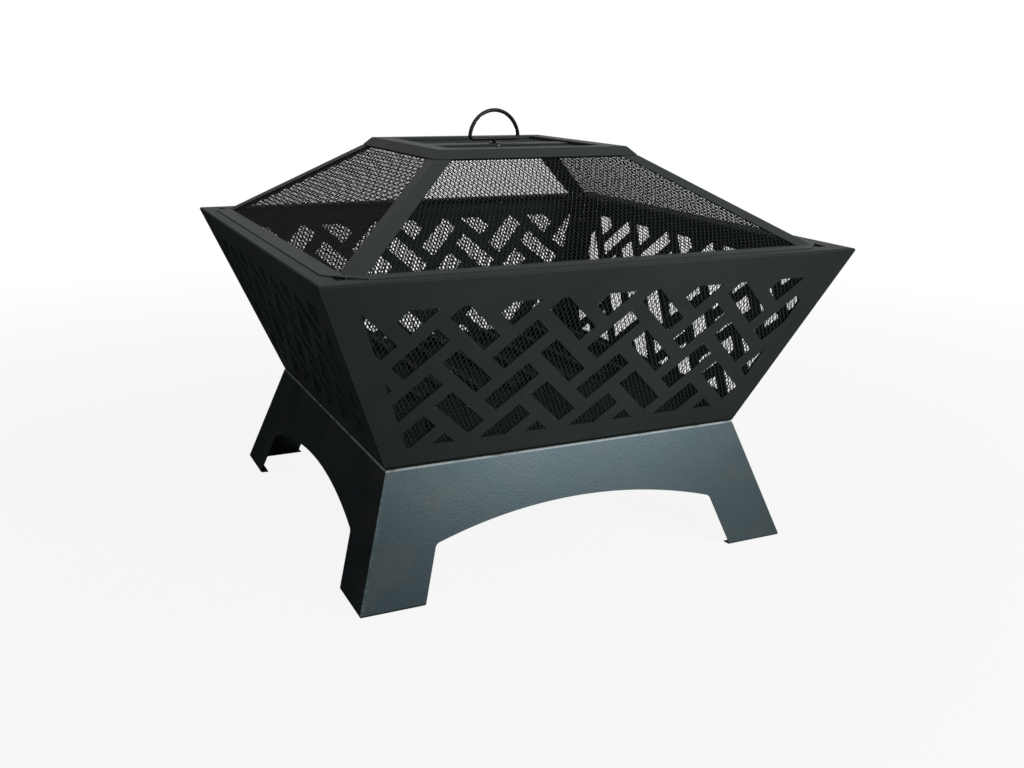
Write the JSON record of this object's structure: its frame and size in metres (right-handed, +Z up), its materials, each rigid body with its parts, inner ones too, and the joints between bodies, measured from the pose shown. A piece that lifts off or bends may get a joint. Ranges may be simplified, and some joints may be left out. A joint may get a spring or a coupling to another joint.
{
  "type": "fire pit",
  "caption": "Square steel fire pit: flared bowl with herringbone cut-outs and mesh liners on an arched stand, with a lift-off mesh lid and a log grate.",
  "frame": {"origin": "on the ground, under the middle of the square stand", "axes": "+Z up, front side towards -Y, +X to the right of someone who faces the front"},
  "size_m": [0.6596, 0.6596, 0.537],
  "materials": {
    "stand_steel": "satin slate-grey heat-resistant paint",
    "bowl_steel": "matte black heat-resistant paint",
    "lid_steel": "matte black heat-resistant paint",
    "mesh_steel": "matte black heat-resistant paint on expanded metal",
    "grate_iron": "matte black heat-resistant paint",
    "handle_rod": "semi-gloss black paint",
    "fastener": "black zinc"
  },
  "bodies": {
    "pit": {"stand_panel_front": "stand_steel", "stand_panel_right": "stand_steel", "stand_panel_back": "stand_steel", "stand_panel_left": "stand_steel", "bowl_panel_front": "bowl_steel", "bowl_panel_right": "bowl_steel", "bowl_panel_back": "bowl_steel", "bowl_panel_left": "bowl_steel", "bowl_liner_front": "mesh_steel", "bowl_liner_right": "mesh_steel", "bowl_liner_back": "mesh_steel", "bowl_liner_left": "mesh_steel", "stand_corner_bolts": "fastener", "stand_corner_nuts": "fastener", "bowl_corner_bolts": "fastener", "bowl_corner_nuts": "fastener", "seat_bolts": "fastener", "seat_nuts": "fastener", "ash_pan": "bowl_steel"},
    "log_grate": {"grate_legs": "grate_iron", "grate_rails": "grate_iron", "grate_bars": "grate_iron"},
    "lid": {"lid_ring": "lid_steel", "lid_cap": "lid_steel", "lid_strap": "lid_steel", "lid_ridge_front": "lid_steel", "lid_ridge_right": "lid_steel", "lid_ridge_back": "lid_steel", "lid_ridge_left": "lid_steel", "lid_mesh_front": "mesh_steel", "lid_mesh_right": "mesh_steel", "lid_mesh_back": "mesh_steel", "lid_mesh_left": "mesh_steel", "lid_top_mesh": "mesh_steel"},
    "lid_handle": {"handle": "handle_rod", "handle_stud": "handle_rod", "handle_nut": "fastener"}
  },
  "joints": [
    {"name": "lid_lift", "type": "slide", "parent": "pit", "child": "lid", "axis": [0, 0, 1], "range_m": [0, 0.45]},
    {"name": "grate_lift", "type": "slide", "parent": "pit", "child": "log_grate", "axis": [0, 0, 1], "range_m": [0, 0.2]},
    {"name": "handle_swivel", "type": "hinge", "parent": "lid", "child": "lid_handle", "pos_m": [0, 0, 0.492], "axis": [0, 0, 1], "continuous": true}
  ]
}
